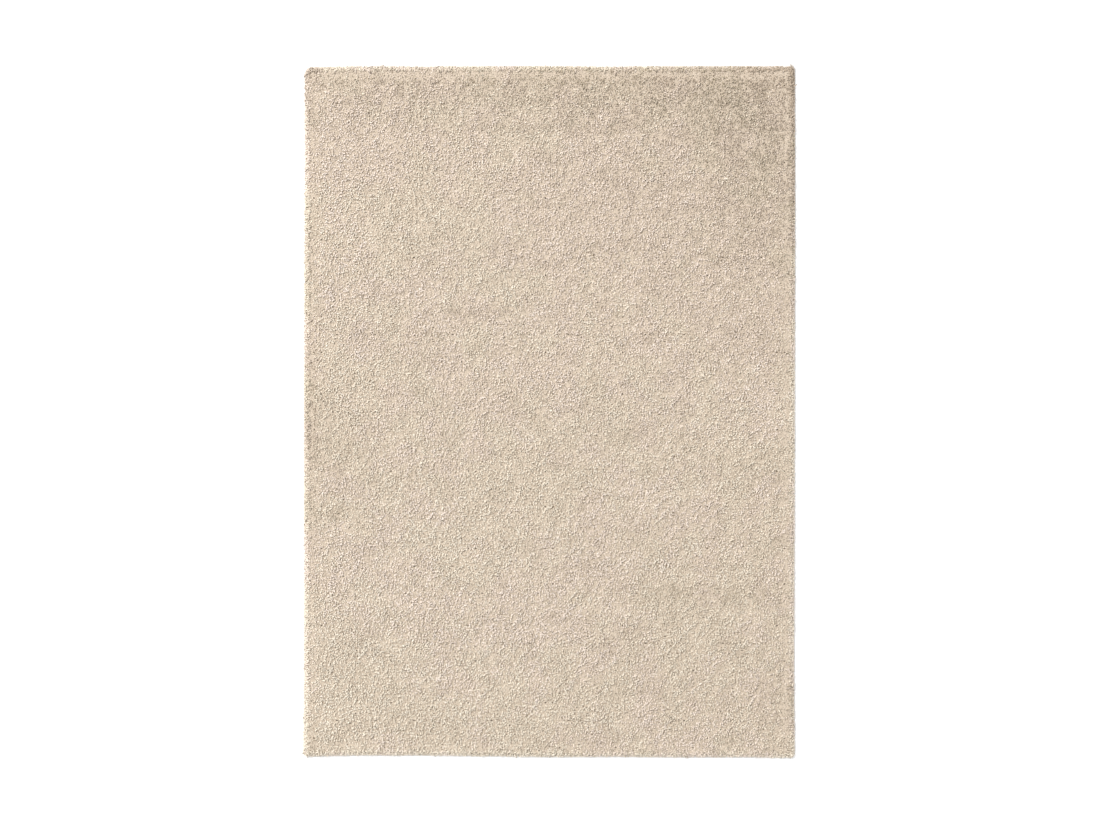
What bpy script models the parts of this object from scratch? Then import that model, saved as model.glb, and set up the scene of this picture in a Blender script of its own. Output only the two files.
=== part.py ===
"""A shag rug lying flat on the floor, as one solid: its woven backing and the pile that stands on it.

Metres, +Z up. X runs across the rug and Y along it. The origin is on the floor, under the middle
of the rug. Run it with: blender --background --python part.py
"""

import math
from collections import namedtuple

import bmesh
import bpy

# Driving dimensions.
BACKING_WIDTH = 1.700
BACKING_LENGTH = 2.400
PILE_SPREAD = 0.010  # how far the pile falls past the backing on each side
BACKING_THICKNESS = 0.003
PILE_HEIGHT = 0.027

# The pile's rounded rim as seen from the side, and the flat border kept inside it.
RIM_RADIUS = 0.010
RIM_STEPS = 4
RIM_BORDER = 0.020

# The corners as seen from above, anticlockwise: how far each is rounded, in metres.
CORNER_RADII = {
    "far right": 0.013,
    "far left": 0.024,
    "near left": 0.013,
    "near right": 0.015,
}
CORNER_STEPS = 4

# How finely the edges are followed between their corners.
EDGE_STEP = 0.040

# How far the edges wander outwards from straight lines, in millimetres, at even steps along them.
Station = namedtuple("Station", "share first_mm second_mm")
# Up the rug from its near end: the left edge first, then the right one.
LONG_EDGES = (
    Station(0.000, 3.5, 0.5),
    Station(0.125, 2.6, -1.8),
    Station(0.250, 0.6, -1.0),
    Station(0.375, 1.2, 0.2),
    Station(0.500, 1.0, 0.3),
    Station(0.625, 0.5, 0.7),
    Station(0.750, 0.0, 1.8),
    Station(0.875, -0.6, 1.6),
    Station(1.000, -1.0, 0.8),
)
# Across the rug from its left side: the near edge first, then the far one.
SHORT_EDGES = (
    Station(0.000, 0.5, -3.0),
    Station(0.125, -3.5, 0.2),
    Station(0.250, -3.2, -0.9),
    Station(0.375, -0.6, 0.3),
    Station(0.500, 1.7, 0.3),
    Station(0.625, 1.2, -1.4),
    Station(0.750, 2.9, -0.1),
    Station(0.875, 2.9, -0.1),
    Station(1.000, 5.0, -0.7),
)

PILE_COLOUR = (0.66, 0.56, 0.44, 1.0)
PILE_ROUGHNESS = 0.95

width = BACKING_WIDTH + 2 * PILE_SPREAD
length = BACKING_LENGTH + 2 * PILE_SPREAD
height = BACKING_THICKNESS + PILE_HEIGHT


def clear_scene():
    for old in list(bpy.data.objects):
        bpy.data.objects.remove(old, do_unlink=True)


def wander(stations, share):
    """How far both edges of a table wander outwards, in metres, at a share of their length."""
    share = min(max(share, 0.0), 1.0)
    for before, after in zip(stations, stations[1:]):
        if share <= after.share:
            break
    blend = (share - before.share) / (after.share - before.share)
    smooth = blend * blend * (3.0 - 2.0 * blend)
    first = before.first_mm * (1.0 - smooth) + after.first_mm * smooth
    second = before.second_mm * (1.0 - smooth) + after.second_mm * smooth
    return 0.001 * first, 0.001 * second


def wandered(x, y):
    """A point of the plain rectangle's outline, moved to where the real edge runs."""
    across = x / width + 0.5
    along = y / length + 0.5
    left, right = wander(LONG_EDGES, along)
    near, far = wander(SHORT_EDGES, across)
    return x + right * across - left * (1.0 - across), y + far * along - near * (1.0 - along)


def corner_arc(number, radius):
    """One rounded corner of the rectangle, anticlockwise; number 0 is the far right one."""
    side_x = (1, -1, -1, 1)[number]
    side_y = (1, 1, -1, -1)[number]
    centre_x = side_x * (width / 2 - radius)
    centre_y = side_y * (length / 2 - radius)
    arc = []
    for step in range(CORNER_STEPS + 1):
        angle = math.radians(90.0) * (number + step / CORNER_STEPS)
        arc.append((centre_x + radius * math.cos(angle), centre_y + radius * math.sin(angle)))
    return arc


def rounded_rectangle():
    """The plain outline, anticlockwise from above: four corner arcs with points between them."""
    arcs = [corner_arc(number, radius) for number, radius in enumerate(CORNER_RADII.values())]
    points = []
    for number, arc in enumerate(arcs):
        points.extend(arc)
        start = arc[-1]
        end = arcs[(number + 1) % len(arcs)][0]
        pieces = round(math.dist(start, end) / EDGE_STEP)
        for piece in range(1, pieces):
            share = piece / pieces
            points.append((start[0] + (end[0] - start[0]) * share, start[1] + (end[1] - start[1]) * share))
    return points


def rug_outline():
    """The real outline, moved so that its middle is at the origin."""
    points = [wandered(x, y) for x, y in rounded_rectangle()]
    middle_x, middle_y = [(min(values) + max(values)) / 2 for values in zip(*points)]
    return [(x - middle_x, y - middle_y) for x, y in points]


def rug_mesh():
    """The outline filled, raised to the pile's height and rounded along its upper rim."""
    mesh = bpy.data.meshes.new("rug")
    shape = bmesh.new()
    outline = [shape.verts.new((x, y, 0.0)) for x, y in rug_outline()]
    underside = shape.faces.new(outline)
    raised = bmesh.ops.extrude_face_region(shape, geom=[underside])["geom"]
    top_points = [item for item in raised if isinstance(item, bmesh.types.BMVert)]
    bmesh.ops.translate(shape, vec=(0.0, 0.0, height), verts=top_points)
    rim = [edge for edge in shape.edges if all(end.co.z > height / 2 for end in edge.verts)]
    bmesh.ops.bevel(
        shape,
        geom=rim,
        offset=RIM_RADIUS,
        segments=RIM_STEPS,
        profile=0.5,
        affect="EDGES",
        material=-1,
    )
    top = max(shape.faces, key=lambda face: face.calc_center_median().z)
    bmesh.ops.inset_region(shape, faces=[top], thickness=RIM_BORDER)
    bmesh.ops.recalc_face_normals(shape, faces=shape.faces)
    shape.to_mesh(mesh)
    shape.free()
    mesh.shade_smooth()
    mesh.set_sharp_from_angle(angle=math.radians(60.0))
    return mesh


def pile_material():
    material = bpy.data.materials.new("beige_pile")
    material.use_nodes = True
    surface = material.node_tree.nodes["Principled BSDF"]
    surface.inputs["Base Color"].default_value = PILE_COLOUR
    surface.inputs["Roughness"].default_value = PILE_ROUGHNESS
    surface.inputs["Metallic"].default_value = 0.0
    return material


def main():
    clear_scene()
    rug = bpy.data.objects.new("rug", rug_mesh())
    rug.data.materials.append(pile_material())
    bpy.context.scene.collection.objects.link(rug)


main()
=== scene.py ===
# %% [markdown]
# # A shag rug, laid flat and seen from above
# On a tufting machine a thin backing cloth runs under rows of needles, and each needle leaves a
# short length of twisted yarn standing in it. The yarn ends are cut, they fall over a little, and
# together they make the pile.
#
# The model is made in the same order: the backing cloth, the dense lower pile where the yarns
# crowd together, well over a hundred thousand single yarn ends, and last the ends that hang over
# the edges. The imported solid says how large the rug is, so it comes first.

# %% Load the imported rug
import math
from collections import namedtuple

import bmesh
import bpy
import numpy as np
from mathutils import Matrix, Vector, noise


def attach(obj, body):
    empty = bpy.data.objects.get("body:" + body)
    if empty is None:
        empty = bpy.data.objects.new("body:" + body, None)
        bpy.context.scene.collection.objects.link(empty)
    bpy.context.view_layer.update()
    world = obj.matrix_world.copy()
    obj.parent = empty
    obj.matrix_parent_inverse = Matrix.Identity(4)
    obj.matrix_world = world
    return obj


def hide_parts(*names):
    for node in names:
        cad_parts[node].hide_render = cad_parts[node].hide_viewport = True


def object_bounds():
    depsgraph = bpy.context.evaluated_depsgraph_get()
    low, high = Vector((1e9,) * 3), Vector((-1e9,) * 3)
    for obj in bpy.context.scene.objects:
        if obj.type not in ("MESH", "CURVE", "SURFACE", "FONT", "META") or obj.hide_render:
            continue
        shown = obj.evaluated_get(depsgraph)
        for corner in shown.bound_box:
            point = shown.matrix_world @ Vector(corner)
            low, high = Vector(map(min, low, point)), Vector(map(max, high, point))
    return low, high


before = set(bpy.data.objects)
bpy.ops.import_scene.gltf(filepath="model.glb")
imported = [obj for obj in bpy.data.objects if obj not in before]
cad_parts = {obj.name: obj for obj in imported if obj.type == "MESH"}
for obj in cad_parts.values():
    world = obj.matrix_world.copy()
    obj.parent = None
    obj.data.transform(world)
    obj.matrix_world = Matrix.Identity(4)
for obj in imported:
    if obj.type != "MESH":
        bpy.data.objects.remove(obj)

MM = 0.001  # a millimetre in metres
cad_low, cad_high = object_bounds()
cad_size = cad_high - cad_low
HALF_X, HALF_Y = cad_size.x / 2, cad_size.y / 2
print("packed rug, mm:", [round(1000 * side, 1) for side in cad_size])

# %% [markdown]
# ## Where the edges run
# The rug's edges aren't quite straight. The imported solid's lowest points are the outline, and
# four small tables of them say where each edge is at any place along it, so that the pile can
# follow. Every size here is a real one, in metres.

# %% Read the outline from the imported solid
CORNER_ZONE = 0.030  # the rounded corners belong to both of their edges
ON_FLOOR = 0.0005  # a point lower than this stands on the floor
rug_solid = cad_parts["rug"]
lowest = [tuple(vertex.co)[:2] for vertex in rug_solid.data.vertices if vertex.co.z < ON_FLOOR]
outline = np.unique(np.array(lowest).round(6), axis=0)
outline = outline[np.argsort(np.arctan2(outline[:, 1], outline[:, 0]))]


def edge_table(axis, side):
    """The outline's points along one edge: where along it, and how far out."""
    on_edge = outline[side * outline[:, axis] > (HALF_X, HALF_Y)[axis] - CORNER_ZONE]
    on_edge = on_edge[np.argsort(on_edge[:, 1 - axis])]
    return on_edge[:, 1 - axis], side * on_edge[:, axis]


EDGES = {
    "left": edge_table(0, -1),
    "right": edge_table(0, 1),
    "near": edge_table(1, -1),
    "far": edge_table(1, 1),
}
print("outline points:", len(outline))

# %% [markdown]
# Two helpers answer for thousands of places at once: how far inside each edge they are, and what
# slow noise makes of them.


# %% Helpers for places on the rug
def edge_distances(x, y):
    """How far points are inside each edge: left, right, near and far."""
    left, right = np.interp(y, *EDGES["left"]) + x, np.interp(y, *EDGES["right"]) - x
    near, far = np.interp(x, *EDGES["near"]) + y, np.interp(x, *EDGES["far"]) - y
    return np.stack([left, right, near, far])


def slow_noise(x, y, size, layer):
    """Smooth noise between -1 and 1 at each place, with features of about this size."""
    return np.array([noise.noise(Vector((a / size, b / size, layer))) for a, b in zip(x, y)])


SEED = 27
rng = np.random.default_rng(SEED)
print("the origin is inside the edges by, mm:", (1000 * edge_distances(0.0, 0.0)).round(1))

# %% [markdown]
# ## Shader helpers
# Each material is a small chain of nodes. A helper adds a node and links or sets its inputs, so
# that a material reads from top to bottom like a recipe.


# %% Helpers for nodes
def set_inputs(tree, node, **inputs):
    """Sets or links inputs, each given by its name, with _ for a space, or by its number as in_N."""
    for name, value in inputs.items():
        key = int(name[3:]) if name.startswith("in_") else name.replace("_", " ")
        if isinstance(value, bpy.types.NodeSocket):
            tree.links.new(value, node.inputs[key])
        else:
            node.inputs[key].default_value = value


def add_node(tree, kind, settings=None, **inputs):
    """Adds a shader node with these settings and inputs."""
    made = tree.nodes.new("ShaderNode" + kind)
    for name, value in (settings or {}).items():
        setattr(made, name, value)
    set_inputs(tree, made, **inputs)
    return made


def maths(tree, operation, first, second=0.0, third=0.0):
    settings = {"operation": operation}
    made = add_node(tree, "Math", settings, in_0=first, in_1=second, in_2=third)
    return made.outputs[0]


def times(tree, first, second):
    return maths(tree, "MULTIPLY", first, second)


def blend(tree, blend_type, factor, first, second):
    settings = {"data_type": "RGBA", "blend_type": blend_type}
    made = add_node(tree, "Mix", settings, in_0=factor, in_6=first, in_7=second)
    return made.outputs[2]


def spread(tree, value, low, high, new_low=0.0, new_high=1.0):
    """A value between low and high, spread over the new range and held inside it."""
    made = add_node(tree, "MapRange", in_0=value, in_1=low, in_2=high, in_3=new_low, in_4=new_high)
    return made.outputs[0]


def new_material(name):
    """A material, its tree and its main shader."""
    material = bpy.data.materials.new(name)
    material.use_nodes = True
    return material, material.node_tree, material.node_tree.nodes["Principled BSDF"]


def finish_shader(tree, shader, colour, tint, relief, strength, depth, **inputs):
    """Gives a shader its tinted colour, its relief and its other inputs."""
    tinted = blend(tree, "MULTIPLY", 1.0, colour, tint)
    bump = add_node(tree, "Bump", Strength=strength, Distance=depth, Height=relief)
    set_inputs(tree, shader, Base_Color=tinted, Normal=bump.outputs[0], **inputs)


print("the helpers for nodes are ready")

# %% [markdown]
# ## Fuzz, a group that three materials share
# Seen close, all the yarn is a mat of fine fibres. Two layers of noise, one finer than the other,
# make a height for the bump and a tint for the colour. A group is made once, and each material
# places it with its own scale.

# %% The fuzz group
FINER = 3.1  # how much finer the second noise is
FINE_SHARE = 0.45  # how much of the height it makes


def make_fuzz_group():
    group = bpy.data.node_groups.new("yarn_fuzz", "ShaderNodeTree")
    group.interface.new_socket("Vector", in_out="INPUT", socket_type="NodeSocketVector")
    for name in ("Scale", "Tint Amount"):
        group.interface.new_socket(name, in_out="INPUT", socket_type="NodeSocketFloat")
    for name in ("Tint", "Height"):
        group.interface.new_socket(name, in_out="OUTPUT", socket_type="NodeSocketFloat")
    start = group.nodes.new("NodeGroupInput")
    end = group.nodes.new("NodeGroupOutput")
    place, scale = start.outputs["Vector"], start.outputs["Scale"]
    finer = times(group, scale, FINER)
    coarse = add_node(group, "TexNoise", Vector=place, Scale=scale, Detail=2.0).outputs[0]
    fine = add_node(group, "TexNoise", Vector=place, Scale=finer, Detail=1.0).outputs[0]
    coarse_part = times(group, coarse, 1.0 - FINE_SHARE)
    height = maths(group, "MULTIPLY_ADD", fine, FINE_SHARE, coarse_part)
    centred = maths(group, "SUBTRACT", height, 0.5)
    tint = maths(group, "MULTIPLY_ADD", centred, start.outputs["Tint Amount"], 1.0)
    set_inputs(group, end, Tint=tint, Height=height)
    return group


fuzz_group = make_fuzz_group()


def add_fuzz(tree, vector, scale, tint_amount):
    """Places the group in a material. Returns its tint and its height."""
    made = tree.nodes.new("ShaderNodeGroup")
    made.node_tree = fuzz_group
    set_inputs(tree, made, Vector=vector, Scale=scale, Tint_Amount=tint_amount)
    return made.outputs["Tint"], made.outputs["Height"]


print("fuzz group nodes:", len(fuzz_group.nodes))

# %% [markdown]
# ## The card of yarns
# The yarn is dyed in slightly different beiges. A dyer shows such a range on a card, wound with
# one yarn beside the other, and the finish is painted in the same way: the map's width is cut
# into columns, one yarn to a column, and its height runs from root to tip. Every yarn end picks
# one column, so all of them share one small, sharp map. The columns go from dark to light in
# pairs, and the two of a pair come from two dye lots, one a little rosy and one a little yellow.

# %% The card's colours
MAP_NAME = "OFBake"
TONES = 16
LOTS = 2
CARD_COLUMNS = TONES * LOTS
DARK_BEIGE = (0.41, 0.34, 0.255, 1.0)
MIDDLE_BEIGE = (0.75, 0.668, 0.575, 1.0)
LIGHT_BEIGE = (0.80, 0.735, 0.66, 1.0)
ROSY_LOT = (1.0, 0.970, 0.975, 1.0)
YELLOW_LOT = (0.99, 0.99, 0.95, 1.0)
WARM_SHADE = (0.05, 0.03, 0.0, 1.0)  # the colour of a yarn's darkest painted shade
WHITE = (1.0, 1.0, 1.0, 1.0)


def card_colour(tree, column):
    """The dye of a column of the card."""
    pair = maths(tree, "FLOOR", maths(tree, "DIVIDE", column, LOTS))
    lot = maths(tree, "MODULO", column, LOTS)
    tone = maths(tree, "DIVIDE", maths(tree, "ADD", pair, 0.5), TONES)
    dye = add_node(tree, "ValToRGB", in_0=tone)
    ramp = dye.color_ramp
    ramp.elements[0].color = DARK_BEIGE
    ramp.elements[1].color = LIGHT_BEIGE
    ramp.elements.new(0.5).color = MIDDLE_BEIGE
    lot_colour = blend(tree, "MIX", lot, ROSY_LOT, YELLOW_LOT)
    return blend(tree, "MULTIPLY", 1.0, dye.outputs[0], lot_colour)


print("columns on the card:", CARD_COLUMNS)

# %% [markdown]
# Two plies twisted round each other leave a groove that winds round the yarn. On the card that is
# a set of slanting lines: the place around the yarn plus the place along it, times the number of
# turns. The grooves are lower and get painted shade, the fuzz covers all, and the root gets painted
# shade. Plies could be modelled too, but at this size painted shade and bump look the same and cost
# no triangles.

# %% Make the yarn material
PLIES = 2
PLY_TURNS = 2.0
GROOVE_SLOPE = 0.55  # a ply is at its full height where the wave is this high
# painted shade: the grooves between the plies and the root are darkened on the card
GROOVE_PAINTED_SHADE = 0.66
ROOT_PAINTED_SHADE = 0.30
SHADED_BELOW = 0.25  # up to here the yarn has the root's painted shade
CLEAR_ABOVE = 0.85  # and from here on its own
PLY_RELIEF = 0.60  # of the relief; the fuzz makes the rest
YARN_FUZZ_SCALE = 110.0
YARN_FUZZ_TINT = 0.30
SOFT = {
    "Roughness": 0.9,
    "Specular_IOR_Level": 0.15,
    "Sheen_Weight": 0.15,
    "Sheen_Roughness": 0.5,
    "Sheen_Tint": (1.0, 0.95, 0.88, 1.0),
}


def make_yarn_material():
    material, tree, shader = new_material("beige_yarn")
    card = add_node(tree, "UVMap", {"uv_map": MAP_NAME}).outputs[0]
    across, along, _ = add_node(tree, "SeparateXYZ", in_0=card).outputs
    counted = times(tree, across, CARD_COLUMNS)
    dyed = card_colour(tree, maths(tree, "FLOOR", counted))
    around = maths(tree, "FRACT", counted)
    turned = maths(tree, "MULTIPLY_ADD", along, PLY_TURNS, around)
    wave = maths(tree, "SINE", times(tree, turned, PLIES * math.pi))
    ply = spread(tree, maths(tree, "ABSOLUTE", wave), 0.0, GROOVE_SLOPE)
    root_painted_shade = spread(tree, along, SHADED_BELOW, CLEAR_ABOVE, ROOT_PAINTED_SHADE, 1.0)
    groove_painted_shade = spread(tree, ply, 0.0, 1.0, GROOVE_PAINTED_SHADE, 1.0)
    fuzz_tint, fuzz_height = add_fuzz(tree, card, YARN_FUZZ_SCALE, YARN_FUZZ_TINT)
    light_share = times(tree, root_painted_shade, groove_painted_shade)
    shade = blend(tree, "MIX", light_share, WARM_SHADE, WHITE)
    colour = blend(tree, "MULTIPLY", 1.0, dyed, shade)
    fuzz_relief = times(tree, fuzz_height, 1.0 - PLY_RELIEF)
    relief = maths(tree, "MULTIPLY_ADD", ply, PLY_RELIEF, fuzz_relief)
    finish_shader(tree, shader, colour, fuzz_tint, relief, strength=0.6, depth=0.0010, **SOFT)
    return material


yarn_material = make_yarn_material()
print("yarn material nodes:", len(yarn_material.node_tree.nodes))

# %% [markdown]
# ## The finish of the lower pile
# Between the yarn ends one sees more yarn ends, further down and in the shade. They are too many
# to model, so the lower pile has a pattern of them: three layers of short yarn ends that lie any
# way round, each with its own tone, and painted shade in the gaps between. Every layer is a Voronoi
# texture, where each cell knows its middle and a few chance numbers, and one yarn end is drawn round
# the middle.
# The pattern is a square tile, laid again and again, every second one mirrored to hide the seams.

# %% One layer of lying yarn ends
TILE = 0.135  # metres of the rug that one tile covers
LYING_GAP = 0.0062  # from one lying yarn end to the next
LYING_WIDTH = 0.39  # half a yarn's width, as a share of the gap
LYING_LENGTH = 0.95  # half its length, in the same way
LYING_END = 0.25  # how long its tapered end is
LYING_TURNS = 1.6  # how steeply its plies wind
LYING_SLOPE = 0.5  # a ply is at its full height where its wave is this high
LYING_GROOVE = 0.72  # how high the groove between them is, and a ply is 1
DULLEST = 0.70  # how high the darkest yarn end counts
LAYER_SHIFT = Vector((3.7, 5.3, 0.0))  # moves each layer's cells aside
TILE_SHARE = 0.96  # of the map's width; the underside has the rest


def lying_yarns(tree, tile, number):
    """How high the yarn ends of one layer are at each place."""
    per_tile = TILE / (LYING_GAP * TILE_SHARE)
    place = add_node(
        tree, "VectorMath", {"operation": "MULTIPLY_ADD"},
        in_0=tile, in_1=(per_tile, per_tile, 0.0), in_2=LAYER_SHIFT * number,
    ).outputs[0]
    settings = {"feature": "F1", "voronoi_dimensions": "2D"}
    cells = add_node(tree, "TexVoronoi", settings, Vector=place, Scale=1.0)
    middle = cells.outputs["Position"]
    settings = {"operation": "SUBTRACT"}
    apart = add_node(tree, "VectorMath", settings, in_0=place, in_1=middle).outputs[0]
    turn, tone, _ = add_node(tree, "SeparateXYZ", in_0=cells.outputs["Color"]).outputs
    angle = times(tree, turn, math.pi)
    settings = {"rotation_type": "Z_AXIS"}
    turned = add_node(tree, "VectorRotate", settings, Vector=apart, Angle=angle).outputs[0]
    along, beside, _ = add_node(tree, "SeparateXYZ", in_0=turned).outputs
    share = maths(tree, "DIVIDE", beside, LYING_WIDTH)
    drop = maths(tree, "SUBTRACT", 1.0, times(tree, share, share))
    rounded = maths(tree, "SQRT", maths(tree, "MAXIMUM", drop, 0.0))
    reach = maths(tree, "ABSOLUTE", along)
    ended = spread(tree, reach, LYING_LENGTH - LYING_END, LYING_LENGTH, 1.0, 0.0)
    winding = maths(tree, "MULTIPLY_ADD", along, LYING_TURNS, share)
    wave = maths(tree, "SINE", times(tree, winding, 0.5 * math.pi))
    ply = spread(tree, maths(tree, "ABSOLUTE", wave), 0.0, LYING_SLOPE, LYING_GROOVE, 1.0)
    level = times(tree, rounded, times(tree, ended, ply))
    return times(tree, level, spread(tree, tone, 0.0, 1.0, DULLEST, 1.0))


print("lying yarn ends across one tile:", round(TILE / LYING_GAP))

# %% [markdown]
# The highest layer wins at each place, and the lower ones count for less. The height is the
# relief, and it also takes the colour from the painted shade of the gaps to a beige painted darker for
# the shade down in the pile.

# %% Join the layers in a material
MIDDLE_LAYER = 0.84  # how high the second layer counts
LOWER_LAYER = 0.70
PAINTED_SHADE_BELOW = 0.05  # up to this height the colour is the gaps' painted shade
BEIGE_ABOVE = 0.80  # and from here on a yarn end's
# painted shade: near-black brown in the gaps, and a darkened beige on the lying yarn ends
GAP_PAINTED_SHADE = (0.07, 0.052, 0.034, 1.0)
SHADED_BEIGE = (0.52, 0.438, 0.35, 1.0)
DULL = {"Roughness": 0.95, "Specular_IOR_Level": 0.1}
FUZZ_HEIGHT = 0.15  # of a yarn end's


def make_lower_material():
    material, tree, shader = new_material("beige_lower_pile")
    tile = add_node(tree, "UVMap", {"uv_map": MAP_NAME}).outputs[0]
    upper = lying_yarns(tree, tile, 0)
    middle = times(tree, lying_yarns(tree, tile, 1), MIDDLE_LAYER)
    lower = times(tree, lying_yarns(tree, tile, 2), LOWER_LAYER)
    level = maths(tree, "MAXIMUM", upper, maths(tree, "MAXIMUM", middle, lower))
    fuzz_tint, fuzz_height = add_fuzz(tree, tile, scale=60.0, tint_amount=0.6)
    lit = spread(tree, level, PAINTED_SHADE_BELOW, BEIGE_ABOVE)
    colour = blend(tree, "MIX", lit, GAP_PAINTED_SHADE, SHADED_BEIGE)
    relief = maths(tree, "MULTIPLY_ADD", fuzz_height, FUZZ_HEIGHT, level)
    finish_shader(tree, shader, colour, fuzz_tint, relief, strength=0.9, depth=0.003, **DULL)
    return material


lower_material = make_lower_material()
print("lower pile material nodes:", len(lower_material.node_tree.nodes))

# %% [markdown]
# ## The finish of the backing cloth
# The backing is a plain weave, where the threads of one set pass over and under those of the
# other. Hardly any of it shows, so it has no modelled threads but a product of two sine waves,
# which is high where one set is on top and low where the other is.

# %% Make the backing's material
THREAD_GAP = 0.0024
THREAD_FUZZ = 0.3  # the fuzz's height, of a thread's
LOW_THREAD = (0.46, 0.39, 0.30, 1.0)
HIGH_THREAD = (0.62, 0.55, 0.45, 1.0)


def make_backing_material():
    material, tree, shader = new_material("woven_backing")
    place = add_node(tree, "TexCoord").outputs["Object"]
    x, y, _ = add_node(tree, "SeparateXYZ", in_0=place).outputs
    across = maths(tree, "SINE", times(tree, x, math.pi / THREAD_GAP))
    along = maths(tree, "SINE", times(tree, y, math.pi / THREAD_GAP))
    threads = spread(tree, times(tree, across, along), -1.0, 1.0)
    colour = blend(tree, "MIX", threads, LOW_THREAD, HIGH_THREAD)
    fuzz_tint, fuzz_height = add_fuzz(tree, place, scale=500.0, tint_amount=0.35)
    relief = maths(tree, "MULTIPLY_ADD", fuzz_height, THREAD_FUZZ, threads)
    finish_shader(tree, shader, colour, fuzz_tint, relief, strength=0.7, depth=0.0006, Roughness=0.9)
    return material


backing_material = make_backing_material()
print("backing material nodes:", len(backing_material.node_tree.nodes))

# %% [markdown]
# ## The backing cloth
# A closed sheet 3 mm thick, cut a little inside the pile's outline so that the pile can fall past
# it. It is filled as one face and extruded, and its edges are rounded by a small bevel.

# %% Points for the backing's edge
BACKING_THICKNESS = 0.003
BACKING_INSET = 0.0125  # from the outline to its edge
BACKING_STEP = 0.050
BACKING_ROUNDING = 0.0008
BACKING_SHARP = 50.0  # degrees; a steeper fold stays sharp


def backing_outline():
    """Points along all four edges of the backing, anticlockwise."""
    reach_x, reach_y = HALF_X - BACKING_INSET, HALF_Y - BACKING_INSET
    across = np.linspace(-reach_x, reach_x, round(2 * reach_x / BACKING_STEP) + 1)[1:-1]
    along = np.linspace(-reach_y, reach_y, round(2 * reach_y / BACKING_STEP) + 1)[1:-1]
    _, _, near, far = edge_distances(across, 0.0) - BACKING_INSET
    left, right, _, _ = edge_distances(0.0, along) - BACKING_INSET
    edges = ((across, -near), (right, along), (across, far), (-left, along))
    near, right, far, left = (np.stack(edge, 1) for edge in edges)
    return np.concatenate([near, right, far[::-1], left[::-1]])


print("points on the backing's edge:", len(backing_outline()))


# %% Finishing a piece
def new_object(name, data):
    made = bpy.data.objects.new(name, data)
    bpy.context.scene.collection.objects.link(made)
    return made


def to_mesh(shape, name):
    mesh = bpy.data.meshes.new(name)
    shape.to_mesh(mesh)
    shape.free()
    return mesh


def finish_piece(name, mesh, material):
    """Makes the mesh a piece of the rug that rides on its one body."""
    mesh.materials.append(material)
    piece = new_object(name, mesh)
    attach(piece, "root")
    mesh.calc_loop_triangles()
    print(name, "triangles:", len(mesh.loop_triangles))
    return piece


# %% Make the backing cloth
def make_backing():
    """Fills the outline, raises it to its thickness and rounds both rims."""
    shape = bmesh.new()
    points = [shape.verts.new((x, y, 0.0)) for x, y in backing_outline()]
    face = shape.faces.new(points)
    raised = bmesh.ops.extrude_face_region(shape, geom=[face])["geom"]
    upper = [item for item in raised if isinstance(item, bmesh.types.BMVert)]
    bmesh.ops.translate(shape, vec=(0.0, 0.0, BACKING_THICKNESS), verts=upper)
    rims = [edge for edge in shape.edges if edge.verts[0].co.z == edge.verts[1].co.z]
    bmesh.ops.bevel(
        shape, geom=rims, offset=BACKING_ROUNDING,
        segments=2, profile=0.5, affect="EDGES", material=-1,
    )
    bmesh.ops.recalc_face_normals(shape, faces=shape.faces)
    mesh = to_mesh(shape, "backing_cloth")
    mesh.shade_smooth()
    mesh.set_sharp_from_angle(angle=math.radians(BACKING_SHARP))
    return finish_piece("backing_cloth", mesh, backing_material)


backing = make_backing()

# %% [markdown]
# ## The lower pile
# Between the backing and the loose yarn ends the pile is so dense that light hardly enters. More
# yarn ends could fill it, but nobody would see them, so it is a closed mat with a slightly uneven
# top that rounds off along its border. It is made of a grid, whose inner lines are evenly spaced
# and whose lines near the border follow the edges.

# %% Sizes of the lower pile
MAT_TOP = 0.0175  # how high the pile is too dense to see into
MAT_FOOT = 0.0025  # the level of its border
MAT_INSET = 0.0065  # from the outline to its border
MAT_ROUNDING = 0.011
MAT_BORDER_LINES = (0.0, 0.0008, 0.0030, 0.0070, MAT_ROUNDING)  # how far inside the border
MAT_CELL = TILE / 5
MAT_CLEARANCE = 1.3  # how many roundings inside the border the inner lines begin, at least
MAT_UNEVENNESS = 0.0012
MAT_WAVES = 45.0  # roughly how many waves fit in a metre
MAT_SHARP = 80.0  # degrees; a steeper fold stays sharp


def mat_height(x, y):
    """The level of the mat's top, which falls to its foot along the border."""
    inside = edge_distances(x, y).min(axis=0) - MAT_INSET
    share = np.clip(inside / MAT_ROUNDING, 0.0, 1.0)
    return MAT_FOOT + (MAT_TOP - MAT_FOOT) * np.sqrt(1.0 - (1.0 - share) ** 2)


border_levels = mat_height(MAT_INSET + np.array(MAT_BORDER_LINES) - HALF_X, 0.0) / MM
print("the mat's level, mm, from its border inwards:", border_levels.round(1))


# %% Where the grid's lines run
def inner_lines(reach):
    """Evenly spaced lines that stay inside the border's own lines."""
    most = math.floor((reach - MAT_INSET - MAT_CLEARANCE * MAT_ROUNDING) / MAT_CELL)
    return [number * MAT_CELL for number in range(-most, most + 1)]


def line_place(number, inner, low, high):
    """Where a line crosses, counted from the low border to the high one."""
    border = len(MAT_BORDER_LINES)
    if number < border:
        return low + MAT_BORDER_LINES[number]
    if number >= border + len(inner):
        return high - MAT_BORDER_LINES[2 * border + len(inner) - 1 - number]
    return inner[number - border]


inner_x, inner_y = inner_lines(HALF_X), inner_lines(HALF_Y)
lines_x = len(inner_x) + 2 * len(MAT_BORDER_LINES)
lines_y = len(inner_y) + 2 * len(MAT_BORDER_LINES)
print("lines in the mat's grid:", lines_x, "by", lines_y)


# %% Shape the grid and lay the tiles on it
TILE_MARGIN = 0.005  # of the map's width, free on both sides
UNDERSIDE_MARGIN = 0.2  # of the strip's width, in the same way


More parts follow.
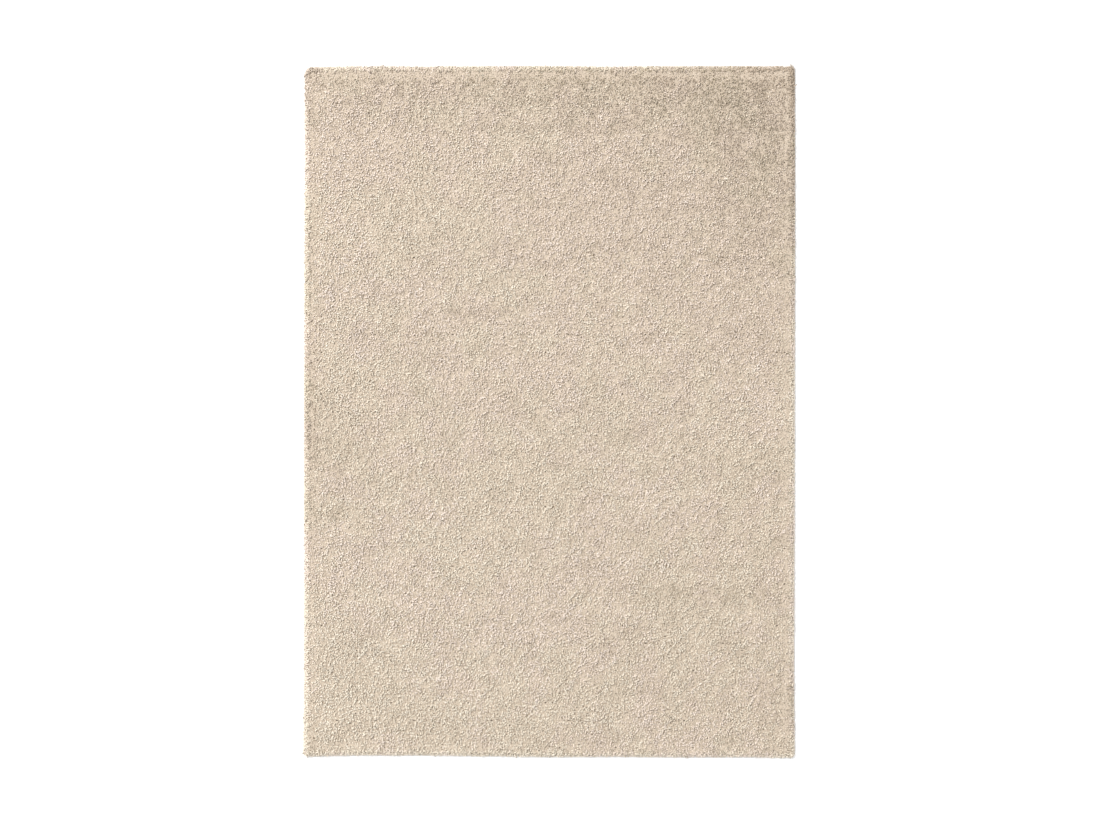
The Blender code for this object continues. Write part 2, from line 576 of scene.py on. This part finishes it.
def mat_point(vertex):
    """Where a point of the flat grid goes."""
    number_x = round((vertex.co.x + 1.0) / 2.0 * (lines_x - 1))
    number_y = round((vertex.co.y + 1.0) / 2.0 * (lines_y - 1))
    reach_x, reach_y = HALF_X - MAT_INSET, HALF_Y - MAT_INSET
    plain_x = line_place(number_x, inner_x, -reach_x, reach_x)
    plain_y = line_place(number_y, inner_y, -reach_y, reach_y)
    left, right, near, far = edge_distances(plain_x, plain_y) - MAT_INSET
    x = line_place(number_x, inner_x, plain_x - left, plain_x + right)
    y = line_place(number_y, inner_y, plain_y - near, plain_y + far)
    level = float(mat_height(x, y))
    wave = noise.noise(Vector((x, y, 0.0)) * MAT_WAVES)
    return x, y, level + MAT_UNEVENNESS * wave * (level - MAT_FOOT) / (MAT_TOP - MAT_FOOT)


def tiled(place):
    """A place on the rug as a place on the tile: up it, back down it, and so on."""
    turns = place / TILE
    return TILE_MARGIN + (TILE_SHARE - 2.0 * TILE_MARGIN) * abs(turns - 2.0 * round(turns / 2.0))


def on_underside(place):
    """A place under the rug as a place on the map's upper strip."""
    across = UNDERSIDE_MARGIN + (1.0 - 2.0 * UNDERSIDE_MARGIN) * (place.x / cad_size.x + 0.5)
    along = place.y / cad_size.y + 0.5
    return TILE_SHARE * along, TILE_SHARE + (1.0 - TILE_SHARE) * across


def make_lower_pile():
    """Shapes the grid, lays the tiles on it and closes it underneath."""
    shape = bmesh.new()
    bmesh.ops.create_grid(shape, x_segments=lines_x - 1, y_segments=lines_y - 1, size=1.0)
    for vertex in shape.verts:
        vertex.co = mat_point(vertex)
    tile = shape.loops.layers.uv.new(MAP_NAME)
    for face in shape.faces:
        for corner in face.loops:
            corner[tile].uv = (tiled(corner.vert.co.x), tiled(corner.vert.co.y))
    border = [edge for edge in shape.edges if edge.is_boundary]
    underside = bmesh.ops.contextual_create(shape, geom=border)["faces"][0]
    for corner in underside.loops:
        corner[tile].uv = on_underside(corner.vert.co)
    bmesh.ops.recalc_face_normals(shape, faces=shape.faces)
    mesh = to_mesh(shape, "lower_pile")
    mesh.shade_smooth()
    mesh.set_sharp_from_angle(angle=math.radians(MAT_SHARP))
    return finish_piece("lower_pile", mesh, lower_material)


lower_pile = make_lower_pile()

# %% [markdown]
# ## One yarn end
# A yarn end is a three-sided tube with a short pointed tip. Three sides are enough, because
# smooth shading rounds them and a yarn is only 5 mm thick. A filled circle is the root, its face
# is extruded ring by ring, and the last face is poked to make the tip. On the field the root is
# out of sight, so its ring is merged to a point, and the triangles saved make the pile denser.

# %% Sizes of a yarn end
YARN_LENGTH = 0.0172
YARN_RADIUS = 0.0024
YARN_SIDES = 3
POINTED_BELOW = 0.5  # a root ring under this size is merged to a point
TINY = 1e-5  # a smaller height or radius counts as none
Ring = namedtuple("Ring", "share size")  # share of the length, share of the radius
FIELD_RINGS = (Ring(0.0, 0.3), Ring(0.87, 1.0))
RIM_RINGS = (Ring(0.0, 0.9), Ring(0.45, 1.0), Ring(0.93, 0.95))


def straight_yarn(rings, radius):
    """An upright yarn end as a bmesh."""
    shape = bmesh.new()
    root = rings[0].size * radius
    bmesh.ops.create_circle(shape, cap_ends=True, segments=YARN_SIDES, radius=root)
    bmesh.ops.reverse_faces(shape, faces=shape.faces)
    for before, ring in zip(rings, rings[1:]):
        cap = max(shape.faces, key=lambda face: face.calc_center_median().z)
        grown = bmesh.ops.extrude_face_region(shape, geom=[cap])["geom"]
        if before.share > 0.0:
            bmesh.ops.delete(shape, geom=[cap], context="FACES_ONLY")
        points = [item for item in grown if isinstance(item, bmesh.types.BMVert)]
        rise = (ring.share - before.share) * YARN_LENGTH
        growth = ring.size / before.size
        bmesh.ops.translate(shape, verts=points, vec=(0.0, 0.0, rise))
        bmesh.ops.scale(shape, verts=points, vec=(growth, growth, 1.0))
    cap = max(shape.faces, key=lambda face: face.calc_center_median().z)
    tip = bmesh.ops.poke(shape, faces=[cap])["verts"][0]
    tip.co.z = YARN_LENGTH
    if rings[0].size < POINTED_BELOW:
        root_ring = [vertex for vertex in shape.verts if vertex.co.z < TINY]
        bmesh.ops.pointmerge(shape, verts=root_ring, merge_co=(0.0, 0.0, 0.0))
    bmesh.ops.recalc_face_normals(shape, faces=shape.faces)
    return shape


sample = straight_yarn(FIELD_RINGS, YARN_RADIUS)
print("one yarn end's points:", len(sample.verts), "faces:", len(sample.faces))
sample.free()


# %% [markdown]
# The yarn's skin is laid on one column of the card: the angle around the yarn is the place across
# the column, and the height is the place up it. The points of the root and the tip have no angle
# of their own, so they take their face's. More of a rim yarn shows, so it starts some way up the
# column, past the deepest part of the root's painted shade. Then the yarn end is bent, each variant in
# its own way.

# %% Lay a yarn end on the card
FIELD_FOOT = 0.01  # where on the column a field yarn begins
RIM_FOOT = 0.30
CARD_TOP = 0.99  # where every yarn ends
ROOT_SPOT = 0.02  # how much of the column the root's own face takes
FULL_TURN = 2.0 * math.pi


def angle_around(point, start):
    return (math.atan2(point.y, point.x) - start) % FULL_TURN


def lay_on_card(shape, foot):
    """Adds the map: 0 to 1 around the yarn, and from the foot to the card's top along it."""
    card = shape.loops.layers.uv.new(MAP_NAME)
    rim = [vertex for vertex in shape.verts if vertex.co.xy.length > TINY]
    start = min(math.atan2(vertex.co.y, vertex.co.x) for vertex in rim)
    for face in shape.faces:
        centre = face.calc_center_median()
        is_root = centre.z < TINY
        middle = math.pi if is_root else angle_around(centre, start)
        for corner in face.loops:
            angle = angle_around(corner.vert.co, start)
            if corner.vert.co.xy.length < TINY:
                angle = middle
            elif not is_root and angle < middle - math.pi:
                angle += FULL_TURN
            up = ROOT_SPOT * math.sin(angle) ** 2 if is_root else corner.vert.co.z / YARN_LENGTH
            corner[card].uv = (angle / FULL_TURN, foot + (CARD_TOP - foot) * up)


print("the shares of a column that yarns take:", CARD_TOP - FIELD_FOOT, CARD_TOP - RIM_FOOT)


# %% Bend it, and keep it as arrays
Bend = namedtuple("Bend", "spin bend_mm sway_mm fullness")


def yarn_end(rings, foot, how):
    """One variant's points, triangles and map places, as arrays."""
    shape = straight_yarn(rings, YARN_RADIUS * how.fullness)
    lay_on_card(shape, foot)
    bmesh.ops.triangulate(shape, faces=shape.faces)
    turn = Matrix.Rotation(math.radians(how.spin), 3, "Z")
    bmesh.ops.rotate(shape, verts=shape.verts, cent=(0.0, 0.0, 0.0), matrix=turn)
    for vertex in shape.verts:
        share = vertex.co.z / YARN_LENGTH
        vertex.co.x += MM * how.bend_mm * share * share
        vertex.co.y += MM * how.sway_mm * share * share
    shape.verts.index_update()
    card = shape.loops.layers.uv[MAP_NAME]
    points = np.array([tuple(vertex.co) for vertex in shape.verts])
    triangles = np.array([[vertex.index for vertex in face.verts] for face in shape.faces])
    places = np.array([[tuple(corner[card].uv) for corner in face.loops] for face in shape.faces])
    shape.free()
    return points, triangles, places


FIELD_BENDS = (
    Bend(0, 2.0, 1.5, 1.00),
    Bend(40, 4.0, -1.0, 0.92),
    Bend(75, 5.5, 2.5, 1.05),
    Bend(20, 3.0, -3.0, 0.97),
    Bend(60, 5.0, 0.5, 1.10),
    Bend(100, 6.5, -2.0, 0.90),
    Bend(10, 1.0, 3.5, 0.95),
)
RIM_BENDS = (
    Bend(0, 7.0, 1.5, 1.00),
    Bend(50, 9.0, -2.0, 0.95),
    Bend(85, 11.0, 2.5, 1.05),
    Bend(25, 8.0, -3.5, 1.00),
)
FIELD_YARNS = [yarn_end(FIELD_RINGS, FIELD_FOOT, how) for how in FIELD_BENDS]
RIM_YARNS = [yarn_end(RIM_RINGS, RIM_FOOT, how) for how in RIM_BENDS]
print("triangles in a field yarn:", len(FIELD_YARNS[0][1]), "in a rim yarn:", len(RIM_YARNS[0][1]))

# %% [markdown]
# ## Where every yarn end stands
# A table with one row for each yarn end holds its place, the way it leans, its size and its dye.
# The places come from a staggered grid like that of the needles, shaken so that no rows show.
# Particles could strew the ends too, but a table is easier to steer.

# %% Standing places
SPACING = 0.00580  # from one yarn end to the next
ROW_GAP = SPACING * math.sqrt(0.75)  # the rows of a grid of even triangles
SHAKE = 0.30  # how far places move, as a share of the spacing
FIELD_INSET = 0.014  # from the outline to the field's border


def standing_places():
    rows = np.arange(-HALF_Y, HALF_Y, ROW_GAP)
    columns = np.arange(-HALF_X, HALF_X, SPACING)
    x, y = np.meshgrid(columns, rows)
    x = x + SPACING * 0.5 * (np.arange(len(rows)) % 2)[:, None]
    x = x.ravel() + rng.uniform(-SHAKE, SHAKE, x.size) * SPACING
    y = y.ravel() + rng.uniform(-SHAKE, SHAKE, y.size) * SPACING
    kept = edge_distances(x, y).min(axis=0) > FIELD_INSET
    return x[kept], y[kept]


field_x, field_y = standing_places()
print("yarn ends on the field:", len(field_x))

# %% [markdown]
# ## How it lies
# The pile has a lay, the way it was last brushed: here mostly towards the near left corner, a
# little more along the rug on its left and across it on its right. Single yarn ends stray far
# from it. Near an edge nothing holds them up from outside, so they fall outwards.

# %% The lay of the pile
LAY_AXIS = 54.0  # degrees from +X, in the middle of the rug
LAY_TURN = 10.0  # degrees more at the left edge, and fewer at the right one
LAY_FLATTER = 12.0  # degrees fewer still in the near right corner
LAY_WANDER = 14.0  # degrees, in slow patches
LAY_SCATTER = 45.0  # degrees, from one yarn end to the next
WANDER_SIZE = 0.22
FAN_WIDTH = 0.060  # how far from an edge they begin to turn outwards
FAN_POWER = 1.5
FAN_PULL = 1.1


def lay_axis(x, y):
    """The lay's direction in degrees."""
    across, along = x / HALF_X, y / HALF_Y
    near_right = np.clip(across, 0, 1) * np.clip(-along, 0, 1)
    wander = LAY_WANDER * slow_noise(x, y, WANDER_SIZE, layer=3.0)
    return LAY_AXIS - LAY_TURN * across - LAY_FLATTER * near_right + wander


def fan_out(x, y, lay_x, lay_y):
    """Turns the lay outwards near the edges. Returns the new direction and how near an edge is."""
    near_edge = np.clip(1.0 - edge_distances(x, y) / FAN_WIDTH, 0.0, 1.0) ** FAN_POWER
    left, right, near, far = near_edge
    most = np.clip(np.hypot(right - left, far - near), 0.0, 1.0)
    kept = 1.0 - most
    return lay_x * kept + FAN_PULL * (right - left), lay_y * kept + FAN_PULL * (far - near), most


both_sides = np.array([-0.8, 0.8])
print("lay near the left edge and the right one, degrees:", lay_axis(both_sides, np.zeros(2)).round(0))

# %% [markdown]
# Now the table itself. Tufts of neighbours are longer or shorter together, and faint ridges and
# finer streaks run along the lay, so each of the three gets a slow noise of its own. The ends also
# lean towards the nearest streak, and the pile parts between two.

# %% Sizes for the field
LEAN = 30.0  # degrees from upright
EDGE_LEAN = 6.0  # how many more there are along the edges
RIDGE_LEAN = 7.0  # how many fewer on top of a ridge
LEAN_SCATTER = 14.0
MOST_LEAN = 0.95  # the sine of the largest lean
EDGE_STEADIER = 0.5  # how much less the yarn ends stray at the edges
ROOT_DEPTH = 0.0130  # how far under the mat's top the yarns begin
FIELD_LONG = 1.40  # as a share of the plain length
EDGE_SHORTER = 0.35
RIDGE_LONGER = 0.08
TUFT_LONGER = 0.05
STREAK_LONGER = 0.10
LONG_SCATTER = 0.09
LONGEST = 1.62
THICK = (0.82, 1.15)  # from and to, as shares of the plain radius
RIDGE_SIZE = 0.032
RIDGE_STRETCH = 2.2  # how much longer than wide a ridge is
STREAK_SIZE = 0.019
STREAK_STRETCH = 4.0
TUFT_SIZE = 0.016
PARTING = 0.50  # how strongly the ends lean towards a streak
PARTING_STEP = 0.25 * STREAK_SIZE  # how far to both sides its slope is measured
RIDGE_PAINTED_LIGHT = 0.08  # painted light on a ridge, and painted shade where the noise dips
STREAK_PAINTED_LIGHT = 0.46


def along_lay(x, y, angle, size, longer, layer):
    """Slow noise drawn out along the lay, in ridges."""
    along = x * np.cos(angle) + y * np.sin(angle)
    across = y * np.cos(angle) - x * np.sin(angle)
    return slow_noise(along / longer, across, size, layer)


def streak_at(x, y, angle):
    return along_lay(x, y, angle, STREAK_SIZE, STREAK_STRETCH, layer=9.0)


print("a field yarn is about", round(FIELD_LONG * YARN_LENGTH / MM, 1), "mm long")


# %% Fill the table of the field
def field_table(x, y):
    """One row for each yarn end of the field."""
    count = len(x)
    angle = np.radians(lay_axis(x, y) + 180.0)
    steady = np.radians(LAY_AXIS - LAY_TURN * np.round(2.0 * x / cad_size.x) + 180.0)
    lay_x, lay_y, most = fan_out(x, y, np.cos(angle), np.sin(angle))
    stray = rng.normal(0.0, LAY_SCATTER, count) * (1.0 - EDGE_STEADIER * most)
    turn = np.arctan2(lay_y, lay_x) + np.radians(stray)
    ridge = along_lay(x, y, steady, RIDGE_SIZE, RIDGE_STRETCH, layer=7.0)
    streak = streak_at(x, y, steady)
    side_x, side_y = -np.sin(steady), np.cos(steady)
    slope = streak_at(x + PARTING_STEP * side_x, y + PARTING_STEP * side_y, steady)
    slope -= streak_at(x - PARTING_STEP * side_x, y - PARTING_STEP * side_y, steady)
    tuft = slow_noise(x, y, TUFT_SIZE, layer=11.0)
    more_lean = EDGE_LEAN * most
    lean = np.radians(LEAN + more_lean - RIDGE_LEAN * ridge + rng.normal(0.0, LEAN_SCATTER, count))
    over_x = np.sin(lean) * np.cos(turn) + PARTING * slope * side_x
    over_y = np.sin(lean) * np.sin(turn) + PARTING * slope * side_y
    long = FIELD_LONG * (1.0 - EDGE_SHORTER * most) + RIDGE_LONGER * ridge
    long = long + TUFT_LONGER * tuft + STREAK_LONGER * streak + rng.normal(0.0, LONG_SCATTER, count)
    return {
        "x": x,
        "y": y,
        "z": mat_height(x, y) - ROOT_DEPTH * mat_height(x, y) / MAT_TOP,
        "turn": np.arctan2(over_y, over_x),
        "lean": np.arcsin(np.minimum(np.hypot(over_x, over_y), MOST_LEAN)),
        "long": np.minimum(long, LONGEST),
        "thick": rng.uniform(*THICK, count),
        # painted light on the ridges and streaks, and painted shade between them
        "relief": RIDGE_PAINTED_LIGHT * ridge + STREAK_PAINTED_LIGHT * streak,
        "variant": rng.integers(0, len(FIELD_YARNS), count),
    }


field = field_table(field_x, field_y)
print("lean, degrees, middle 90%:", np.degrees(np.percentile(field["lean"], (5, 50, 95))).round(0))

# %% [markdown]
# ## The yarn ends along the edges
# At the edge the pile hangs over the backing and hides it. Five rows of yarn ends run round the
# rug, and a short table says where their tips lie. The lowest row lies almost level and bends
# down to the floor, and each row above stands a little steeper, until the rows meet the field.

# %% Sizes for the rim
RimRow = namedtuple("RimRow", "tip_inset_mm tip_level_mm lean stray tint gap_mm")
# a row's tint is painted light on the lower rows and painted shade on the top one
RIM_ROWS = (
    RimRow(0.0, 2.8, 84.0, 15.0, 0.10, 3.4),
    RimRow(0.8, 8.0, 72.0, 20.0, 0.10, 4.2),
    RimRow(4.0, 12.5, 60.0, 28.0, 0.08, 5.2),
    RimRow(8.5, 18.0, 46.0, 40.0, 0.0, 5.8),
    RimRow(14.5, 22.0, 32.0, 60.0, -0.08, 5.6),
)
RIM_LEAN_SCATTER = 9.0
INSET_SCATTER = 0.0012
LEVEL_SCATTER = 0.0012
RIM_LONG = 0.88
RIM_LONG_SCATTER = 0.10
RIM_THICK = (0.70, 0.95)
WALK_SHAKE = 0.3  # as a share of the gap
print("rows along the edges:", len(RIM_ROWS))


# %% Lay yarn ends, and find their tips
def laid(points, table, rows):
    """A yarn end's points for each of these rows: sized, leaned over, turned and moved."""
    here = {name: values[rows][:, None] for name, values in table.items()}
    x, y = points[:, 0] * here["thick"], points[:, 1] * here["thick"]
    z = points[:, 2] * here["long"]
    out = x * np.cos(here["lean"]) + z * np.sin(here["lean"])
    up = z * np.cos(here["lean"]) - x * np.sin(here["lean"])
    cos, sin = np.cos(here["turn"]), np.sin(here["turn"])
    placed_x = here["x"] + out * cos - y * sin
    placed_y = here["y"] + out * sin + y * cos
    return np.stack([placed_x, placed_y, here["z"] + up], axis=2)


def tips_and_feet(table, shapes):
    """Where each yarn end's tip is, and the level of its lowest point."""
    tips, feet = np.empty((len(table["x"]), 3)), np.empty(len(table["x"]))
    for number, (points, _, _) in enumerate(shapes):
        rows = np.flatnonzero(table["variant"] == number)
        made = laid(points, table, rows)
        tips[rows] = made[:, np.argmax(points[:, 2])]
        feet[rows] = made[..., 2].min(axis=1)
    return tips, feet


def rooted(table, shapes):
    """Takes the table's places as the tips', and moves the yarn ends back to their roots."""
    tips, _ = tips_and_feet(table, shapes)
    return {**table, **{name: 2.0 * table[name] - tips[:, axis] for axis, name in enumerate("xyz")}}


# %% Fill the table of the rim
def outline_walk(gap):
    """Places along the outline about this far apart, with the outward direction at each."""
    loop = np.concatenate([outline, outline[:1]])
    steps = np.linalg.norm(np.diff(loop, axis=0), axis=1)
    walked = np.concatenate([[0.0], np.cumsum(steps)])
    count = round(walked[-1] / gap)
    shaken = np.arange(count) + rng.uniform(-WALK_SHAKE, WALK_SHAKE, count)
    at = shaken * walked[-1] / count % walked[-1]
    x, y = np.interp(at, walked, loop[:, 0]), np.interp(at, walked, loop[:, 1])
    number = np.searchsorted(walked, at, side="right") - 1
    way = (loop[1:] - loop[:-1])[number]
    return x, y, np.arctan2(-way[:, 0], way[:, 1])


def rim_table(row):
    """One row for each yarn end of one round along the edges."""
    x, y, outwards = outline_walk(MM * row.gap_mm)
    count = len(x)
    inset = MM * row.tip_inset_mm + rng.normal(0.0, INSET_SCATTER, count)
    table = {
        "x": x - inset * np.cos(outwards),
        "y": y - inset * np.sin(outwards),
        "z": np.full(count, MM * row.tip_level_mm) + rng.normal(0.0, LEVEL_SCATTER, count),
        "turn": outwards + np.radians(rng.normal(0.0, row.stray, count)),
        "lean": np.radians(row.lean + rng.normal(0.0, RIM_LEAN_SCATTER, count)),
        "long": RIM_LONG + rng.normal(0.0, RIM_LONG_SCATTER, count),
        "thick": rng.uniform(*RIM_THICK, count),
        # the row's painted light or painted shade
        "relief": np.full(count, row.tint),
        "variant": rng.integers(0, len(RIM_YARNS), count),
    }
    return rooted(table, RIM_YARNS)


rim_rows = [rim_table(row) for row in RIM_ROWS]
rim = {name: np.concatenate([table[name] for table in rim_rows]) for name in rim_rows[0]}
print("yarn ends along the edges:", len(rim["x"]))

# %% [markdown]
# ## Keeping the outline
# The real rug was trimmed to its outline, so its edges are clean. Each yarn end whose tip would
# stick out is moved inwards until the tip is at the edge's limit, less a small chance amount that
# is larger on the left and far edges, where the photograph shows them softer. Nothing reaches
# through the floor either.

# %% Hold every yarn end inside the outline
# at the left, right, near and far edges, how far inside the outline the limit is; then the chance
EDGE_MARGIN = np.array([-0.0036, 0.0, -0.0020, -0.0030])[:, None]
EDGE_SOFTNESS = np.array([0.0018, 0.0004, 0.0011, 0.0015])[:, None]
FLOOR_MARGIN = 0.0003


def hold_inside(table, shapes):
    """Moves the yarn ends that reach too far, and counts them."""
    tips, feet = tips_and_feet(table, shapes)
    allowed = EDGE_MARGIN + EDGE_SOFTNESS * np.abs(rng.normal(0.0, 1.0, (4, len(tips))))
    left, right, near, far = np.clip(allowed - edge_distances(tips[:, 0], tips[:, 1]), 0.0, None)
    table["x"] += left - right
    table["y"] += near - far
    table["z"] += np.clip(FLOOR_MARGIN - feet, 0.0, None)
    return int(((left + right + near + far) > 0).sum())


print("moved inwards on the field:", hold_inside(field, FIELD_YARNS))
print("moved inwards along the edges:", hold_inside(rim, RIM_YARNS))

# %% [markdown]
# ## Which dye each end has, with its painted shade and light
# Most of the rug is one even beige, with painted shade and light on top of it. Painted shade
# darkens the far right corner, where the pile was brushed another way, faint painted shade and
# light lie elsewhere, and narrow bands of both run along the edges. A short table has them as soft
# ovals, so that each can be moved by itself. Every yarn end then differs from the next by chance,
# and the two dye lots mix in slow patches.

# %% Painted shade and light in the pile
PaintedShading = namedtuple("PaintedShading", "x y half_width half_length shade")
PAINTED_SHADING_ROWS = (
    # each row is painted shade where its last number is below 0, and painted light where it is above
    (0.82, 1.14, 0.28, 0.60, -0.20),  # far right corner
    (0.95, 1.10, 1.00, 0.85, -0.17),  # round it, wider and fainter
    (0.00, 1.28, 1.60, 0.26, -0.24),  # along the far edge
    (-0.77, 0.53, 0.16, 0.50, 0.12),  # beside the left edge, then darker ones below it
    (-0.81, 0.07, 0.08, 0.12, -0.07),
    (-0.74, -0.12, 0.12, 0.12, -0.12),
    (-0.72, -0.35, 0.09, 0.024, -0.24),
    (-0.29, 0.35, 0.11, 0.016, -0.20),  # short streaks across the rug
    (-0.65, 0.28, 0.17, 0.014, -0.14),
    (0.69, -0.17, 0.20, 0.035, -0.12),
    (0.34, -0.42, 0.15, 0.020, -0.14),
    (0.57, -0.64, 0.28, 0.045, -0.17),
    (0.29, -0.07, 0.07, 0.040, -0.19),  # and spots
    (0.24, -0.80, 0.08, 0.060, -0.12),
    (0.81, -1.02, 0.09, 0.12, -0.19),
    (0.81, -0.46, 0.06, 0.06, -0.15),
    (0.74, 0.00, 0.15, 0.10, 0.12),  # lighter spots between them
    (0.34, -0.29, 0.16, 0.08, 0.12),
    (0.31, -0.52, 0.15, 0.035, 0.10),
    (-0.40, -0.44, 0.13, 0.07, 0.09),
    (-0.77, -0.99, 0.11, 0.09, 0.09),
    (-0.50, -0.80, 0.60, 0.60, 0.10),  # near left, a little lighter
    (-0.09, 1.00, 0.70, 0.013, -0.10),  # painted shade along two faint creases
    (-0.40, -1.09, 0.48, 0.013, -0.10),
    (-0.880, 0.25, 0.075, 1.0, -0.30),  # along the left edge, and just inside it
    (-0.818, 0.0, 0.011, 9.0, -0.15),
    (0.880, 0.0, 0.060, 9.0, -0.12),  # along the right edge
    (0.0, -1.225, 9.0, 0.020, 0.30),  # along the near edge, and just inside it
    (0.0, -1.186, 9.0, 0.010, -0.18),
    (0.0, 1.225, 9.0, 0.022, 0.40),  # along the far edge, and just inside it
    (0.0, 1.165, 9.0, 0.013, -0.14),
)
PAINTED_SHADINGS = [PaintedShading(*row) for row in PAINTED_SHADING_ROWS]
print("marks in the pile:", len(PAINTED_SHADINGS))

# %% Choose each yarn end's dye and painted shading
PLAIN_TONE = 0.60  # from 0, dark, to 1, light
TONE_SCATTER = 0.12
Patches = namedtuple("Patches", "amount size layer")
TONE_PATCHES = Patches(0.05, 0.12, 17.0)
LOT_PATCHES = (Patches(1.6, 0.10, 19.0), Patches(1.3, 0.45, 23.0))
ROSY_SHARE = 0.5
LOT_SLOPE = (0.10, 0.25)  # how much more for each metre across and along


def painted_shading_at(x, y):
    """How much darker or lighter the painted shading makes each place."""
    total = np.zeros(len(x))
    for oval in PAINTED_SHADINGS:
        away = ((x - oval.x) / oval.half_width) ** 2 + ((y - oval.y) / oval.half_length) ** 2
        total += oval.shade * np.exp(-(away**2))
    return total


def patches_at(x, y, patches):
    return patches.amount * slow_noise(x, y, patches.size, patches.layer)


def choose_column(table):
    """The column of the card that each yarn end of a table takes."""
    x, y = table["x"], table["y"]
    # the relief and the ovals add painted light and shade; the patches and the scatter are random tone
    tone = PLAIN_TONE + table["relief"] + painted_shading_at(x, y) + patches_at(x, y, TONE_PATCHES)
    tone += rng.normal(0.0, TONE_SCATTER, len(tone))
    rosy = ROSY_SHARE + LOT_SLOPE[0] * x + LOT_SLOPE[1] * y
    for patches in LOT_PATCHES:
        rosy = rosy + patches_at(x, y, patches)
    lot = (rng.uniform(0.0, 1.0, len(tone)) > rosy).astype(int)
    return LOTS * np.clip(np.floor(tone * TONES), 0, TONES - 1) + lot


field["column"] = choose_column(field)
rim["column"] = choose_column(rim)
print("the field's columns, quartiles:", np.percentile(field["column"], (25, 50, 75)))

# %% [markdown]
# ## Planting
# One object for each yarn end would be far too slow. All ends of one variant are planted together:
# its points are scaled, leaned over, turned and moved for every row of the table at once, and the
# copies are joined in one mesh. The field is cut into strips so that no piece grows too heavy.


# %% Copies of one variant
def planted(shape, table, rows):
    """A variant's copies for these rows: points, triangles and map places."""
    points, triangles, places = shape
    made = laid(points, table, rows)
    firsts = np.arange(len(rows))[:, None, None] * len(points)
    on_card = np.repeat(places[None], len(rows), axis=0)
    on_card[..., 0] = (on_card[..., 0] + table["column"][rows][:, None, None]) / CARD_COLUMNS
    return made.reshape(-1, 3), (triangles + firsts).reshape(-1, 3), on_card.reshape(-1, 2)


# %% Join them in pieces
def plant(name, shapes, table, chosen):
    """Joins the chosen rows' yarn ends in one piece."""
    all_points, all_triangles, all_places, total = [], [], [], 0
    for number, shape in enumerate(shapes):
        rows = np.flatnonzero(chosen & (table["variant"] == number))
        points, triangles, places = planted(shape, table, rows)
        all_points.append(points)
        all_triangles.append(triangles + total)
        all_places.append(places)
        total += len(points)
    corners = np.concatenate(all_triangles).astype(np.int32)
    mesh = bpy.data.meshes.new(name)
    mesh.vertices.add(total)
    mesh.vertices.foreach_set("co", np.concatenate(all_points).astype(np.float32).ravel())
    mesh.loops.add(corners.size)
    mesh.loops.foreach_set("vertex_index", corners.ravel())
    mesh.polygons.add(len(corners))
    mesh.polygons.foreach_set("loop_start", np.arange(0, corners.size, 3, dtype=np.int32))
    card = mesh.uv_layers.new(name=MAP_NAME)
    card.uv.foreach_set("vector", np.concatenate(all_places).astype(np.float32).ravel())
    mesh.update(calc_edges=True)
    mesh.shade_smooth()
    return finish_piece(name, mesh, yarn_material)


STRIPS = 5
strip = np.clip(((field["y"] / cad_size.y + 0.5) * STRIPS).astype(int), 0, STRIPS - 1)
pile = []
for number in range(STRIPS):
    pile.append(plant(f"pile_field_{number + 1}", FIELD_YARNS, field, strip == number))
pile.append(plant("pile_rim", RIM_YARNS, rim, np.ones(len(rim["x"]), bool)))
pieces = [backing, lower_pile, *pile]
print("triangles in all:", sum(len(piece.data.loop_triangles) for piece in pieces))

# %% [markdown]
# ## The camera, the floor and the light
# The photograph looks straight down from far away, so the camera has a long lens. It is set so
# that one pixel of the photograph is 3.5 mm on the rug. The floor is white paper, lit by a large
# soft lamp on the far left and plain white light all round.

# %% Set up the camera
FRAME_WIDTH = 3.848  # metres of the rug's plane across the frame
LENS_MM = 100.0
SENSOR_MM = 36.0
AIM = (0.0027, -0.0005, 0.02)  # what the middle of the frame shows
camera = new_object("camera", bpy.data.cameras.new("camera"))
camera.data.lens = LENS_MM
camera.data.sensor_width = SENSOR_MM
camera.location = (AIM[0], AIM[1], AIM[2] + FRAME_WIDTH * LENS_MM / SENSOR_MM)
camera.data.clip_end = 100.0
bpy.context.scene.camera = camera
print("camera height, m:", round(camera.location.z, 3))


# %% Make the floor
FLOOR_REACH = 30.0
FLOOR_DEPTH = 0.0005  # how far under the rug it is
PAPER_WHITE = (0.80, 0.80, 0.80, 1.0)
PAPER = {"Roughness": 0.9, "Specular_IOR_Level": 0.1}


def make_floor():
    shape = bmesh.new()
    bmesh.ops.create_grid(shape, x_segments=1, y_segments=1, size=FLOOR_REACH)
    bmesh.ops.translate(shape, vec=(0.0, 0.0, -FLOOR_DEPTH), verts=shape.verts)
    mesh = to_mesh(shape, "floor")
    material, tree, shader = new_material("white_paper")
    set_inputs(tree, shader, Base_Color=PAPER_WHITE, **PAPER)
    mesh.materials.append(material)
    floor = new_object("floor", mesh)


make_floor()
print("the floor's white:", PAPER_WHITE[0])

# %% Light the rug
LAMP_PLACE = Vector((-10.0, 9.0, 18.0))
LAMP_SIZE = 8.0
LAMP_WATTS = 5500.0
ROOM_LIGHT = 1.19
lamp = new_object("key_lamp", bpy.data.lights.new("key_lamp", "AREA"))
lamp.data.size = LAMP_SIZE
lamp.data.energy = LAMP_WATTS
lamp.location = LAMP_PLACE
lamp.rotation_euler = (-LAMP_PLACE).to_track_quat("-Z", "Y").to_euler()
world = bpy.data.worlds.new("white_room")
bpy.context.scene.world = world
world.use_nodes = True
room = world.node_tree
set_inputs(room, room.nodes["Background"], Color=WHITE, Strength=ROOM_LIGHT)
bpy.context.scene.view_settings.view_transform = "Standard"
print("the lamp is this far away, m:", round(LAMP_PLACE.length, 1))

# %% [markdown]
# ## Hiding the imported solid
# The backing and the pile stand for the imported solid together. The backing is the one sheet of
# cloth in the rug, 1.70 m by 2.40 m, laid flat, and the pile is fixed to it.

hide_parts("rug")
